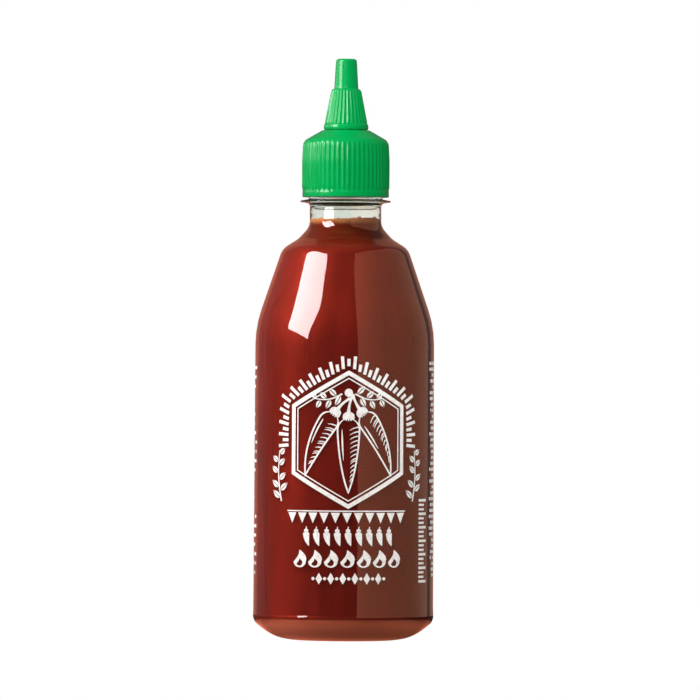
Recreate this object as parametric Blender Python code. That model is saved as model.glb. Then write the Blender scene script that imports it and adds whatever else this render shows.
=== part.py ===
"""A squeeze bottle of hot sauce, shut: clear bottle, sauce, ribbed screw closure and twist tip.

The bottle stands on the ring of its base. The origin is the middle of that ring, on the surface
that the bottle stands on, and +Z is up. All lengths are in metres.
"""

import math

import bmesh
import bpy

# Clearance that pieces resting on each other keep between their meshes.
GAP = 0.0003

# Facets round the bottle and its sauce.
BOTTLE_STEPS = 48
# How far the sloping end of a rib rises for each metre that it stands out.
END_LEAN = 0.8
# The largest turn between two neighbouring points of a rounded corner.
ARC_STEP = math.radians(20)

# Bottle base: a flat standing ring round a pushed-up middle, then a two-radius heel.
BODY_LOW_RADIUS = 0.0331
BODY_HIGH_RADIUS = 0.03275
RING_INNER_RADIUS = 0.0143
RING_OUTER_RADIUS = 0.0190
PUSH_UP_RADIUS = 0.0088
PUSH_UP_HEIGHT = 0.0045
HEEL_BELLY_RADIUS = 0.0255
HEEL_BELLY_HEIGHT = 0.00084
HEEL_CORNER_HEIGHT = 0.0069

# Bottle shoulder: the straight lines of its outline meet in these corners, which are rounded.
CONE_BASE_HEIGHT = 0.1146
CONE_TOP_RADIUS = 0.02305
CONE_TOP_HEIGHT = 0.1431
FLARE_BEND_RADIUS = 0.0172
FLARE_BEND_HEIGHT = 0.14675
FLARE_TOP_HEIGHT = 0.1513

# Bottle neck, a 28 mm screw finish with its support ring.
WALL = 0.0008
NECK_RADIUS = 0.0131
NECK_BORE_RADIUS = 0.0109
RING_LOW_HEIGHT = 0.1597
SUPPORT_RADIUS = 0.0166
SUPPORT_EDGE = 0.00045
SUPPORT_ROOT = 0.0016
BEAD_RADIUS = 0.0135
BEAD_HEIGHT = 0.1640
FINISH_RADIUS = 0.0130
LAND_HEIGHT = 0.1802

# Sauce, up to the level in the neck, with its edge drawn up the wall.
SAUCE_LEVEL = 0.1537
MENISCUS_RISE = 0.0009
MENISCUS_WIDTH = 0.0022

# Closure: ribbed skirt, sloping deck and the spigot that the twist tip turns on.
CLOSURE_RIBS = 54
SKIRT_LOW_HEIGHT = 0.1620
SKIRT_RADIUS = 0.01555
SKIRT_BORE_RADIUS = 0.0140
PLAIN_BAND_HEIGHT = 0.0020
PLAIN_BAND_DEPTH = 0.00025
DECK_EDGE_HEIGHT = 0.18257
DECK_RADIUS = 0.0084
DECK_HEIGHT = 0.1866
CAVITY_TOP_HEIGHT = 0.1809
RIB_DEPTH = 0.00035
RIB_ROOT_WIDTH = 0.00095
RIB_CREST_WIDTH = 0.00045
RIB_TOP_HEIGHT = 0.1818
SPIGOT_RADIUS = 0.0055
SPIGOT_TOP_RADIUS = 0.0036
SPIGOT_SHOULDER_HEIGHT = 0.1990
STEM_RADIUS = 0.0022
STEM_HEIGHT = 0.2089
PIN_RADIUS = 0.0013
PIN_HEIGHT = 0.2119

# Twist tip: foot flange, ribbed cone and plain spout with its orifice.
TIP_RIBS = 30
TIP_LOW_HEIGHT = DECK_HEIGHT + GAP
FLANGE_RADIUS = 0.0082
FLANGE_HEIGHT = 0.0020
CONE_LOW_RADIUS = 0.00755
CONE_HIGH_RADIUS = 0.00515
CONE_HIGH_HEIGHT = 0.2014
SPOUT_LOW_RADIUS = 0.00440
SPOUT_HIGH_RADIUS = 0.00366
TIP_HEIGHT = 0.2128
TIP_EDGE_RADIUS = 0.0011
ORIFICE_RADIUS = 0.0016
ORIFICE_DEPTH = 0.0026
TIP_RIB_DEPTH = 0.00030
TIP_RIB_ROOT_WIDTH = 0.00070
TIP_RIB_CREST_WIDTH = 0.00034

CLEAR_PLASTIC = (0.90, 0.95, 0.92, 1.0)
SAUCE_RED = (0.29, 0.022, 0.010, 1.0)
CAP_GREEN = (0.004, 0.40, 0.085, 1.0)


def clear_scene():
    for obj in list(bpy.data.objects):
        bpy.data.objects.remove(obj, do_unlink=True)


def make_material(name, colour, roughness, alpha=1.0):
    material = bpy.data.materials.new(name)
    material.use_nodes = True
    shader = material.node_tree.nodes["Principled BSDF"]
    shader.inputs["Base Color"].default_value = colour
    shader.inputs["Roughness"].default_value = roughness
    shader.inputs["Metallic"].default_value = 0.0
    shader.inputs["Alpha"].default_value = alpha
    material.diffuse_color = (*colour[:3], alpha)
    return material


def rounded(corners):
    """Points (r, z) along corners (r, z, radius), each corner turned into an arc of its radius."""
    points = []
    for i, (r, z, radius) in enumerate(corners):
        if radius == 0.0 or i in (0, len(corners) - 1):
            points.append((r, z))
            continue
        before, after = corners[i - 1], corners[i + 1]
        to_before = math.atan2(before[1] - z, before[0] - r)
        to_after = math.atan2(after[1] - z, after[0] - r)
        inside = (to_after - to_before + math.pi) % (2 * math.pi) - math.pi
        turn = math.pi - abs(inside)
        tangent = radius * math.tan(turn / 2)
        middle = to_before + inside / 2
        reach = math.hypot(radius, tangent)
        centre = (r + reach * math.cos(middle), z + reach * math.sin(middle))
        start = math.atan2(
            z + tangent * math.sin(to_before) - centre[1],
            r + tangent * math.cos(to_before) - centre[0],
        )
        sweep = -math.copysign(turn, inside)
        steps = max(2, math.ceil(turn / ARC_STEP))
        for k in range(steps + 1):
            angle = start + sweep * k / steps
            points.append(
                (centre[0] + radius * math.cos(angle), centre[1] + radius * math.sin(angle))
            )
    return points


def inset(corners, distance):
    """The corners moved to the left of their direction by distance, each straight side kept parallel."""
    moved = []
    for i, (r, z, radius) in enumerate(corners):
        sides = []
        for a, b in ((i - 1, i), (i, i + 1)):
            if a < 0 or b == len(corners):
                continue
            along = (corners[b][0] - corners[a][0], corners[b][1] - corners[a][1])
            length = math.hypot(*along)
            sides.append((-along[1] / length, along[0] / length))
        if len(sides) == 1:
            shift, turns_left = sides[0], 0.0
        else:
            dot = sides[0][0] * sides[1][0] + sides[0][1] * sides[1][1]
            shift = tuple((a + b) / (1 + dot) for a, b in zip(*sides))
            turns_left = sides[0][0] * sides[1][1] - sides[0][1] * sides[1][0]
        if radius:
            radius = max(radius - math.copysign(distance, turns_left), GAP)
        moved.append((max(r + shift[0] * distance, 0.0), z + shift[1] * distance, radius))
    # The first corner stays on the axis.
    moved[0] = (0.0, moved[0][1], 0.0)
    return moved


def base_and_shoulder():
    """Corners of the bottle's outside from the middle of its base to the foot of its neck."""
    return [
        (0.0, PUSH_UP_HEIGHT, 0.0),
        (PUSH_UP_RADIUS, PUSH_UP_HEIGHT, 0.0060),
        (RING_INNER_RADIUS, 0.0, 0.0),
        (RING_OUTER_RADIUS, 0.0, 0.0),
        (HEEL_BELLY_RADIUS, HEEL_BELLY_HEIGHT, 0.0170),
        (BODY_LOW_RADIUS, HEEL_CORNER_HEIGHT, 0.0045),
        (BODY_HIGH_RADIUS, CONE_BASE_HEIGHT, 0.0400),
        (CONE_TOP_RADIUS, CONE_TOP_HEIGHT, 0.0064),
        (FLARE_BEND_RADIUS, FLARE_BEND_HEIGHT, 0.0080),
        (NECK_RADIUS, FLARE_TOP_HEIGHT, 0.0055),
    ]


def inside_wall(distance):
    """Corners of a face that lies this far inside the bottle's outside, from the base to the neck's foot."""
    corners = inset(base_and_shoulder(), distance)
    bore = NECK_BORE_RADIUS - (distance - WALL)
    corners[-1] = (bore, FLARE_TOP_HEIGHT - WALL, 0.0075)
    return corners


def turn(name, points, steps, material, closed=False):
    """A solid turned round +Z from the outline points (r, z). Its ends lie on the axis, or it is closed."""
    shape = bmesh.new()
    outline = [shape.verts.new((r, 0.0, z)) for r, z in points]
    pairs = list(zip(outline, outline[1:]))
    if closed:
        pairs.append((outline[-1], outline[0]))
    edges = [shape.edges.new(pair) for pair in pairs]
    bmesh.ops.spin(
        shape,
        geom=outline + edges,
        cent=(0.0, 0.0, 0.0),
        axis=(0.0, 0.0, 1.0),
        angle=2 * math.pi,
        steps=steps,
        use_merge=True,
    )
    bmesh.ops.remove_doubles(shape, verts=shape.verts, dist=1e-6)
    bmesh.ops.recalc_face_normals(shape, faces=shape.faces)
    return finish(name, shape, material)


def finish(name, shape, material):
    mesh = bpy.data.meshes.new(name)
    shape.to_mesh(mesh)
    shape.free()
    mesh.shade_smooth()
    mesh.set_sharp_from_angle(angle=math.radians(35))
    mesh.materials.append(material)
    obj = bpy.data.objects.new(name, mesh)
    bpy.context.scene.collection.objects.link(obj)
    return obj


def make_bottle(material):
    outside = base_and_shoulder() + [
        (NECK_RADIUS, RING_LOW_HEIGHT, 0.0),
        (SUPPORT_RADIUS, RING_LOW_HEIGHT + (SUPPORT_ROOT - SUPPORT_EDGE) / 2, 0.0),
        (SUPPORT_RADIUS, RING_LOW_HEIGHT + (SUPPORT_ROOT + SUPPORT_EDGE) / 2, 0.0),
        (BEAD_RADIUS, RING_LOW_HEIGHT + SUPPORT_ROOT, 0.0),
        (BEAD_RADIUS, BEAD_HEIGHT, 0.0),
        (FINISH_RADIUS, BEAD_HEIGHT + BEAD_RADIUS - FINISH_RADIUS, 0.0),
        (FINISH_RADIUS, LAND_HEIGHT, 0.0),
        (NECK_BORE_RADIUS, LAND_HEIGHT, 0.0),
    ]
    inside = inside_wall(WALL) + [(NECK_BORE_RADIUS, LAND_HEIGHT, 0.0)]
    points = rounded(outside) + rounded(inside)[-2::-1]
    return turn("bottle", points, BOTTLE_STEPS, material)


def make_sauce(material):
    """The sauce follows the wall at a small gap and ends in a dished surface in the neck."""
    wall = inside_wall(WALL + GAP)
    neck = wall[-1][0]
    wall.append((neck, SAUCE_LEVEL + MENISCUS_RISE, 0.0))
    top = [
        (neck - MENISCUS_WIDTH / 3, SAUCE_LEVEL + MENISCUS_RISE / 3),
        (neck - MENISCUS_WIDTH, SAUCE_LEVEL),
        (0.0, SAUCE_LEVEL),
    ]
    return turn("sauce", rounded(wall) + top, BOTTLE_STEPS, material)


def rib_bars(name, count, foot, head, root_width, crest_width, depth):
    """Upright bars round +Z with sloping sides and ends. foot and head are (r, z) of a bar's root."""
    sunk = 0.8 * depth
    flank = (root_width - crest_width) / depth
    shape = bmesh.new()
    for k in range(count):
        angle = 2 * math.pi * (k + 0.5) / count
        out = (math.cos(angle), math.sin(angle))
        across = (-out[1], out[0])
        rings = []
        for (r, z), lean in ((foot, END_LEAN), (head, -END_LEAN)):
            root = (r - sunk, (root_width + flank * sunk) / 2, z - lean * sunk)
            crest = (r + depth, crest_width / 2, z + lean * depth)
            ring = []
            for (reach, half, height), side in ((root, -1), (crest, -1), (crest, 1), (root, 1)):
                x = reach * out[0] + side * half * across[0]
                y = reach * out[1] + side * half * across[1]
                ring.append(shape.verts.new((x, y, height)))
            rings.append(ring)
        low, high = rings
        shape.faces.new(low)
        shape.faces.new(high[::-1])
        for i in range(len(low)):
            j = (i + 1) % len(low)
            shape.faces.new((low[i], high[i], high[j], low[j]))
    bmesh.ops.recalc_face_normals(shape, faces=shape.faces)
    mesh = bpy.data.meshes.new(name)
    shape.to_mesh(mesh)
    shape.free()
    bars = bpy.data.objects.new(name, mesh)
    bars.hide_render = True
    bars.display_type = "WIRE"
    bpy.context.scene.collection.objects.link(bars)
    return bars


def add_ribs(obj, bars):
    union = obj.modifiers.new("ribs", "BOOLEAN")
    union.operation = "UNION"
    union.solver = "EXACT"
    union.object = bars


def make_closure(material):
    corners = [
        (0.0, PIN_HEIGHT, 0.0),
        (PIN_RADIUS, PIN_HEIGHT, 0.0),
        (PIN_RADIUS, STEM_HEIGHT + STEM_RADIUS - PIN_RADIUS, 0.0),
        (STEM_RADIUS, STEM_HEIGHT, 0.0),
        (STEM_RADIUS, SPIGOT_SHOULDER_HEIGHT + SPIGOT_TOP_RADIUS - STEM_RADIUS, 0.0),
        (SPIGOT_TOP_RADIUS, SPIGOT_SHOULDER_HEIGHT, 0.0),
        (SPIGOT_RADIUS, DECK_HEIGHT, 0.0),
        (DECK_RADIUS, DECK_HEIGHT, 0.0),
        (SKIRT_RADIUS, DECK_EDGE_HEIGHT, 0.0010),
        (SKIRT_RADIUS, SKIRT_LOW_HEIGHT + PLAIN_BAND_HEIGHT, 0.0),
        (SKIRT_RADIUS + PLAIN_BAND_DEPTH, SKIRT_LOW_HEIGHT + PLAIN_BAND_HEIGHT - PLAIN_BAND_DEPTH, 0.0),
        (SKIRT_RADIUS + PLAIN_BAND_DEPTH, SKIRT_LOW_HEIGHT, 0.0),
        (SKIRT_BORE_RADIUS, SKIRT_LOW_HEIGHT, 0.0),
        (SKIRT_BORE_RADIUS, CAVITY_TOP_HEIGHT, 0.0),
        (0.0, CAVITY_TOP_HEIGHT, 0.0),
    ]
    closure = turn("closure", rounded(corners), CLOSURE_RIBS, material)
    bars = rib_bars(
        "closure_rib_bars",
        CLOSURE_RIBS,
        (SKIRT_RADIUS, SKIRT_LOW_HEIGHT + PLAIN_BAND_HEIGHT / 2),
        (SKIRT_RADIUS, RIB_TOP_HEIGHT),
        RIB_ROOT_WIDTH,
        RIB_CREST_WIDTH,
        RIB_DEPTH,
    )
    add_ribs(closure, bars)
    return closure


def make_twist_tip(material):
    cone_low = TIP_LOW_HEIGHT + FLANGE_HEIGHT
    inner_shoulder = SPIGOT_SHOULDER_HEIGHT + GAP
    stem_bore = STEM_RADIUS + GAP
    orifice_foot = TIP_HEIGHT - ORIFICE_DEPTH
    outside = [
        (SPIGOT_RADIUS + GAP, TIP_LOW_HEIGHT, 0.0),
        (FLANGE_RADIUS, TIP_LOW_HEIGHT, 0.0),
        (FLANGE_RADIUS, cone_low - 0.0003, 0.0004),
        (CONE_LOW_RADIUS, cone_low, 0.0),
        (CONE_HIGH_RADIUS, CONE_HIGH_HEIGHT, 0.0003),
        (SPOUT_LOW_RADIUS, CONE_HIGH_HEIGHT + 0.0003, 0.0),
        (SPOUT_HIGH_RADIUS, TIP_HEIGHT, TIP_EDGE_RADIUS),
        (ORIFICE_RADIUS, TIP_HEIGHT, 0.0),
    ]
    inside = [
        (ORIFICE_RADIUS, orifice_foot),
        (stem_bore, orifice_foot - stem_bore + ORIFICE_RADIUS),
        (stem_bore, inner_shoulder + SPIGOT_TOP_RADIUS + GAP - stem_bore),
        (SPIGOT_TOP_RADIUS + GAP, inner_shoulder),
    ]
    tip = turn("twist_tip", rounded(outside) + inside, TIP_RIBS, material, closed=True)
    bars = rib_bars(
        "tip_rib_bars",
        TIP_RIBS,
        (CONE_LOW_RADIUS, cone_low - FLANGE_HEIGHT / 4),
        (CONE_HIGH_RADIUS, CONE_HIGH_HEIGHT - 0.0004),
        TIP_RIB_ROOT_WIDTH,
        TIP_RIB_CREST_WIDTH,
        TIP_RIB_DEPTH,
    )
    add_ribs(tip, bars)
    return tip


def main():
    clear_scene()
    clear_plastic = make_material("clear_plastic", CLEAR_PLASTIC, 0.05, alpha=0.3)
    sauce_red = make_material("sauce_red", SAUCE_RED, 0.30)
    cap_green = make_material("cap_green", CAP_GREEN, 0.35)
    make_bottle(clear_plastic)
    make_sauce(sauce_red)
    make_closure(cap_green)
    make_twist_tip(cap_green)


main()
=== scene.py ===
import math
import random

import bmesh
import bpy
from mathutils import Matrix, Vector


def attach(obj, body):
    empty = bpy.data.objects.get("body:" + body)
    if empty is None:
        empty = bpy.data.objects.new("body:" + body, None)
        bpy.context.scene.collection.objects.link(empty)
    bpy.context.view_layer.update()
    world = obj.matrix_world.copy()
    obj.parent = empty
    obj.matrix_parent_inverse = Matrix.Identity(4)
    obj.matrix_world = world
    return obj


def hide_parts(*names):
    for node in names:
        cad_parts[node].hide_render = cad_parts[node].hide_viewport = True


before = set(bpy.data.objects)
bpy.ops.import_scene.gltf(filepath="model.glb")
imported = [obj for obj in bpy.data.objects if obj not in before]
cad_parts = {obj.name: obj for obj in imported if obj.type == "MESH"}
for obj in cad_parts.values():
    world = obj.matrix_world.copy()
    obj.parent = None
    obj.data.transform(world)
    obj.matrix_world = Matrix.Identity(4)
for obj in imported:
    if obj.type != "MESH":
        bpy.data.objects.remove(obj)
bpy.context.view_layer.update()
scene = bpy.context.scene
mm = 0.001  # shapes below are in millimetres, and become metres in the meshes
print("frame loaded")


# Small helpers that shorten the building of node trees.


def findSocket(sockets, key):
    if isinstance(key, int):
        return sockets[key]
    return next(s for s in sockets if s.name == key and s.enabled)


def addNode(tree, kind, values=None, **settings):
    node = tree.nodes.new(kind)
    for key, value in settings.items():
        setattr(node, key, value)
    for key, value in (values or {}).items():
        socket = findSocket(node.inputs, key)
        if isinstance(value, bpy.types.NodeSocket):
            tree.links.new(value, socket)
        else:
            socket.default_value = value
    return node


def calc(tree, operation, *values):
    values = dict(enumerate(values))
    return addNode(tree, "ShaderNodeMath", values, operation=operation).outputs[0]


def product(tree, first, *others):
    for other in others:
        first = calc(tree, "MULTIPLY", first, other)
    return first


def vectorCalc(tree, operation, values):
    return addNode(tree, "ShaderNodeVectorMath", values, operation=operation).outputs[0]


def joinXYZ(tree, **parts):
    return addNode(tree, "ShaderNodeCombineXYZ", parts).outputs[0]


def splitXYZ(tree, vector):
    return addNode(tree, "ShaderNodeSeparateXYZ", {0: vector}).outputs[:3]


def fromAxis(tree, x, y):
    return calc(tree, "SQRT", calc(tree, "ADD", product(tree, x, x), product(tree, y, y)))


def ramp(tree, value, low, high, start=0.0, end=1.0, smooth=True):
    values = {"Value": value, "From Min": low, "From Max": high, "To Min": start, "To Max": end}
    kind = "SMOOTHSTEP" if smooth else "LINEAR"
    return addNode(tree, "ShaderNodeMapRange", values, interpolation_type=kind).outputs[0]


# Materials. Patterns read Object coordinates, in metres.


def startMaterial(name):
    material = bpy.data.materials.new(name)
    material.use_nodes = True
    tree = material.node_tree
    tree.nodes.clear()
    return material, tree, addNode(tree, "ShaderNodeTexCoord").outputs["Object"]


def endMaterial(material, tree, shader):
    addNode(tree, "ShaderNodeOutputMaterial", {"Surface": shader.outputs[0]})
    return material


def stretched(tree, place, upright):
    values = {"Vector": place, "Scale": (1.0, 1.0, upright)}
    return addNode(tree, "ShaderNodeMapping", values).outputs[0]


def noise(tree, place, scale, detail=2.0, roughness=0.5):
    values = {"Vector": place, "Scale": scale, "Detail": detail, "Roughness": roughness}
    return addNode(tree, "ShaderNodeTexNoise", values).outputs["Fac"]


def blend(tree, factor, a, b):
    values = {"Factor": factor, "A": a, "B": b}
    return addNode(tree, "ShaderNodeMix", values, data_type="RGBA").outputs["Result"]


def bump(tree, height, distance, **under):
    values = {"Height": height, "Distance": distance, **under}
    return addNode(tree, "ShaderNodeBump", values).outputs[0]


petLook = {
    "tint": (0.925, 0.960, 0.895, 1.0),
    "lampTint": (0.93, 0.95, 0.92, 1.0),
    "ior": 1.57,
    "roughness": (0.006, 0.03),
    "waveScale": 38.0,
    "waveDepth": 0.00022,  # slow ripples of the blown wall
    "peelScale": 900.0,
    "peelDepth": 0.000004,
    "scuffScale": 160.0,
}


def clearPlastic():
    look = petLook
    material, tree, place = startMaterial("clearPlastic")
    ripples = noise(tree, stretched(tree, place, 0.35), look["waveScale"], 1.0)
    relief = bump(tree, ripples, look["waveDepth"])
    peel = noise(tree, place, look["peelScale"])
    scuffs = noise(tree, stretched(tree, place, 0.2), look["scuffScale"], 4.0)
    wall = addNode(
        tree,
        "ShaderNodeBsdfPrincipled",
        {
            "Base Color": look["tint"],
            "Roughness": ramp(tree, scuffs, 0.35, 0.8, *look["roughness"]),
            "IOR": look["ior"],
            "Transmission Weight": 1.0,
            "Normal": bump(tree, peel, look["peelDepth"], Normal=relief),
        },
    )
    # Lamps shine straight through the wall on to the sauce.
    lampsPass = addNode(tree, "ShaderNodeBsdfTransparent", {"Color": look["lampTint"]})
    shadow = addNode(tree, "ShaderNodeLightPath").outputs["Is Shadow Ray"]
    either = {0: shadow, 1: wall.outputs[0], 2: lampsPass.outputs[0]}
    return endMaterial(material, tree, addNode(tree, "ShaderNodeMixShader", either))


sauceLook = {
    "body": (0.140, 0.0098, 0.0056, 1.0),
    "smear": (0.098, 0.0072, 0.0040, 1.0),
    "sheen": (1.0, 0.06, 0.03, 1.0),  # the grains throw red light back towards the lamps
    "fleck": (0.045, 0.0060, 0.0030, 1.0),
    # The sauce is drawn darker from the shoulder up into the neck, by height.
    "neck": (0.050, 0.0056, 0.0015, 1.0),
    "neckFrom": 137.0,
    "neckFull": 148.5,
    "thinEdge": (0.300, 0.120, 0.045, 1.0),  # at the level, where it is thin on the wall
    "edgeFrom": 152.5,
    "edgeFull": 155.2,
    "edgeUneven": 1.8,
    "edgeScale": 140.0,
    "gloss": 0.30,
    "roughness": (0.27, 0.34),
    "smearScale": 110.0,
    "cloudScale": 32.0,
    "grainScale": 420.0,
    "pimpleScale": 260.0,
    "pimpleDepth": 0.00003,
}


def sauceRed():
    look = sauceLook
    material, tree, place = startMaterial("sauceRed")
    # Smears run down the wall, so their pattern is stretched along Z.
    smears = noise(tree, stretched(tree, place, 0.06), look["smearScale"], 3.0, 0.55)
    clouds = noise(tree, place, look["cloudScale"])
    cover = ramp(tree, product(tree, smears, clouds), 0.16, 0.38)
    colour = blend(tree, cover, look["smear"], look["body"])
    height = splitXYZ(tree, place)[2]
    # Darker from the shoulder up into the neck, by height.
    inNeck = ramp(tree, height, look["neckFrom"] * mm, look["neckFull"] * mm)
    colour = blend(tree, inNeck, colour, look["neck"])
    uneven = product(tree, noise(tree, place, look["edgeScale"]), look["edgeUneven"] * mm)
    raised = calc(tree, "ADD", height, uneven)
    nearTop = ramp(tree, raised, look["edgeFrom"] * mm, look["edgeFull"] * mm)
    colour = blend(tree, nearTop, colour, look["thinEdge"])
    grains = addNode(tree, "ShaderNodeTexVoronoi", {"Vector": place, "Scale": look["grainScale"]})
    flecked = ramp(tree, grains.outputs["Distance"], 0.10, 0.16, 0.55, 0.0)
    pimples = noise(tree, place, look["pimpleScale"], 3.0)
    shader = addNode(
        tree,
        "ShaderNodeBsdfPrincipled",
        {
            "Base Color": blend(tree, flecked, colour, look["fleck"]),
            "Roughness": ramp(tree, smears, 0.3, 0.7, *look["roughness"]),
            "Specular IOR Level": look["gloss"],
            "Specular Tint": look["sheen"],
            "Normal": bump(tree, pimples, look["pimpleDepth"]),
        },
    )
    return endMaterial(material, tree, shader)


greenLook = {
    "deep": (0.0008, 0.300, 0.062, 1.0),
    "fresh": (0.0012, 0.345, 0.077, 1.0),
    "ior": 1.49,
    "gloss": 0.26,
    "roughness": (0.12, 0.20),
    "flowScale": 60.0,
    "wearScale": 420.0,
    "grainScale": 2600.0,
    "grainDepth": 0.000003,
}


def capGreen(name):
    look = greenLook
    material, tree, place = startMaterial(name)
    flow = noise(tree, stretched(tree, place, 0.4), look["flowScale"], 3.0)
    wear = noise(tree, place, look["wearScale"], 4.0, 0.6)
    grain = noise(tree, place, look["grainScale"])
    shader = addNode(
        tree,
        "ShaderNodeBsdfPrincipled",
        {
            "Base Color": blend(tree, ramp(tree, flow, 0.3, 0.7), look["deep"], look["fresh"]),
            "Roughness": ramp(tree, wear, 0.3, 0.75, *look["roughness"]),
            "IOR": look["ior"],
            "Specular IOR Level": look["gloss"],
            "Normal": bump(tree, grain, look["grainDepth"]),
        },
    )
    return endMaterial(material, tree, shader)


inkLook = {
    "full": (0.95, 0.91, 0.88, 1.0),
    "thin": (0.84, 0.74, 0.70, 1.0),
    "roughness": (0.38, 0.52),
    "coverScale": 700.0,
    "grainScale": 1800.0,
    "grainDepth": 0.000008,
}


def inkWhite():
    look = inkLook
    material, tree, place = startMaterial("inkWhite")
    cover = noise(tree, place, look["coverScale"], 3.0, 0.6)
    grain = noise(tree, place, look["grainScale"])
    shader = addNode(
        tree,
        "ShaderNodeBsdfPrincipled",
        {
            "Base Color": blend(tree, ramp(tree, cover, 0.32, 0.6), look["thin"], look["full"]),
            "Roughness": ramp(tree, cover, 0.3, 0.7, *look["roughness"]),
            "Normal": bump(tree, grain, look["grainDepth"]),
        },
    )
    return endMaterial(material, tree, shader)


def mirroredRays(tree, path):
    # 1 for light that a surface reflects, 0 for light that comes through the plastic.
    solid = calc(tree, "SUBTRACT", 1.0, path.outputs["Is Transmission Ray"])
    return product(tree, path.outputs["Is Glossy Ray"], solid)


def clearRays(tree, path):
    # 1 for light that came through the plastic before it met anything matt.
    clear = calc(tree, "LESS_THAN", path.outputs["Diffuse Depth"], 0.5)
    return product(tree, path.outputs["Is Transmission Ray"], clear)


floorLook = {
    "tones": ((0.30, 0.30, 0.30, 1.0), (0.33, 0.33, 0.33, 1.0)),
    "plain": (0.12, 0.12, 0.11, 1.0),
    "throughPlastic": (0.50, 0.50, 0.47, 1.0),
    "toCamera": (1.0, 1.0, 1.0, 1.0),
    # Round the bottle the floor glows with the sauce's colour, for the heel to mirror: a painted
    # reflection, brighter on the left where the lamps are, and dimmed under the bottle as painted
    # shade.
    "warmLeft": (1.90, 0.44, 0.23, 1.0),
    "warmRight": (1.10, 0.27, 0.13, 1.0),
    "warmAcross": (-0.030, 0.020),
    # From, to, and the share at each, all by metres from the axis.
    "underBottle": (0.024, 0.036, 0.60, 2.0),
    "beyondBottle": (0.041, 0.062, 1.32, 0.10),
    "towardsBack": (-0.030, 0.0, 1.0, 0.28),
}


def floorWhite():
    look = floorLook
    material, tree, place = startMaterial("floorWhite")
    tone = blend(tree, noise(tree, place, 8.0), *look["tones"])
    lit = addNode(tree, "ShaderNodeBsdfDiffuse", {"Color": tone})
    x, y = splitXYZ(tree, place)[:2]
    radius = fromAxis(tree, x, y)
    # Painted reflection for the heel: a sauce-coloured glow, brighter on the left and dimmed
    # under the bottle as painted shade.
    warm = blend(tree, ramp(tree, x, *look["warmAcross"]), look["warmLeft"], look["warmRight"])
    strength = product(
        tree,
        ramp(tree, radius, *look["underBottle"]),
        ramp(tree, y, *look["towardsBack"]),
        ramp(tree, radius, *look["beyondBottle"]),
    )
    warm = vectorCalc(tree, "SCALE", {0: warm, "Scale": strength})
    path = addNode(tree, "ShaderNodeLightPath")
    glow = blend(tree, clearRays(tree, path), look["plain"], look["throughPlastic"])
    glow = blend(tree, mirroredRays(tree, path), glow, warm)
    glow = blend(tree, path.outputs["Is Camera Ray"], glow, look["toCamera"])
    shine = addNode(tree, "ShaderNodeEmission", {"Color": glow})
    both = {0: lit.outputs[0], 1: shine.outputs[0]}
    return endMaterial(material, tree, addNode(tree, "ShaderNodeAddShader", both))


petMaterial = clearPlastic()
sauceMaterial = sauceRed()
closureMaterial = capGreen("closureGreen")
tipMaterial = capGreen("tipGreen")
inkMaterial = inkWhite()
print("materials made")


# Outlines are lists of corners (r, z, radius) in millimetres.


def roundedLine(corners, arcStep=7.0):
    points = []
    for i, (r, z, radius) in enumerate(corners):
        if radius == 0 or i in (0, len(corners) - 1):
            points.append((r, z))
            continue
        before, after = corners[i - 1], corners[i + 1]
        toBefore = math.atan2(before[1] - z, before[0] - r)
        toAfter = math.atan2(after[1] - z, after[0] - r)
        inside = (toAfter - toBefore + math.pi) % (2 * math.pi) - math.pi
        turn = math.pi - abs(inside)
        tangent = radius * math.tan(turn / 2)
        middle = toBefore + inside / 2
        reach = math.hypot(radius, tangent)
        centre = (r + reach * math.cos(middle), z + reach * math.sin(middle))
        start = math.atan2(
            z + tangent * math.sin(toBefore) - centre[1],
            r + tangent * math.cos(toBefore) - centre[0],
        )
        steps = max(2, math.ceil(math.degrees(turn) / arcStep))
        for k in range(steps + 1):
            angle = start - math.copysign(turn, inside) * k / steps
            points.append(
                (centre[0] + radius * math.cos(angle), centre[1] + radius * math.sin(angle))
            )
    return points


def movedIn(corners, distance):
    # The corners shifted to the left of their direction, with each straight side kept parallel.
    moved = []
    for i, (r, z, radius) in enumerate(corners):
        sides = []
        for a, b in ((i - 1, i), (i, i + 1)):
            if a < 0 or b == len(corners):
                continue
            along = (corners[b][0] - corners[a][0], corners[b][1] - corners[a][1])
            length = math.hypot(*along)
            sides.append((-along[1] / length, along[0] / length))
        if len(sides) == 1:
            shift, turnsLeft = sides[0], 0.0
        else:
            dot = sides[0][0] * sides[1][0] + sides[0][1] * sides[1][1]
            shift = tuple((a + b) / (1 + dot) for a, b in zip(*sides))
            turnsLeft = sides[0][0] * sides[1][1] - sides[0][1] * sides[1][0]
        if radius:
            radius = max(radius - math.copysign(distance, turnsLeft), 0.3)
        moved.append((max(r + shift[0] * distance, 0.0), z + shift[1] * distance, radius))
    moved[0] = (0.0, moved[0][1], 0.0)
    return moved


def withRows(points, longest):
    # More points along straight stretches, so that no step is longer than this.
    fine = [points[0]]
    for (r0, z0), (r1, z1) in zip(points, points[1:]):
        steps = max(1, math.ceil(math.hypot(r1 - r0, z1 - z0) / longest))
        for k in range(1, steps + 1):
            t = k / steps
            fine.append((r0 + (r1 - r0) * t, z0 + (z1 - z0) * t))
    return fine


def addPiece(name, mesh, material=None):
    piece = bpy.data.objects.new(name, mesh)
    scene.collection.objects.link(piece)
    if material and not mesh.materials:
        mesh.materials.append(material)
    return piece


def meshFrom(name, bm):
    mesh = bpy.data.meshes.new(name)
    bm.to_mesh(mesh)
    bm.free()
    return mesh


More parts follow.
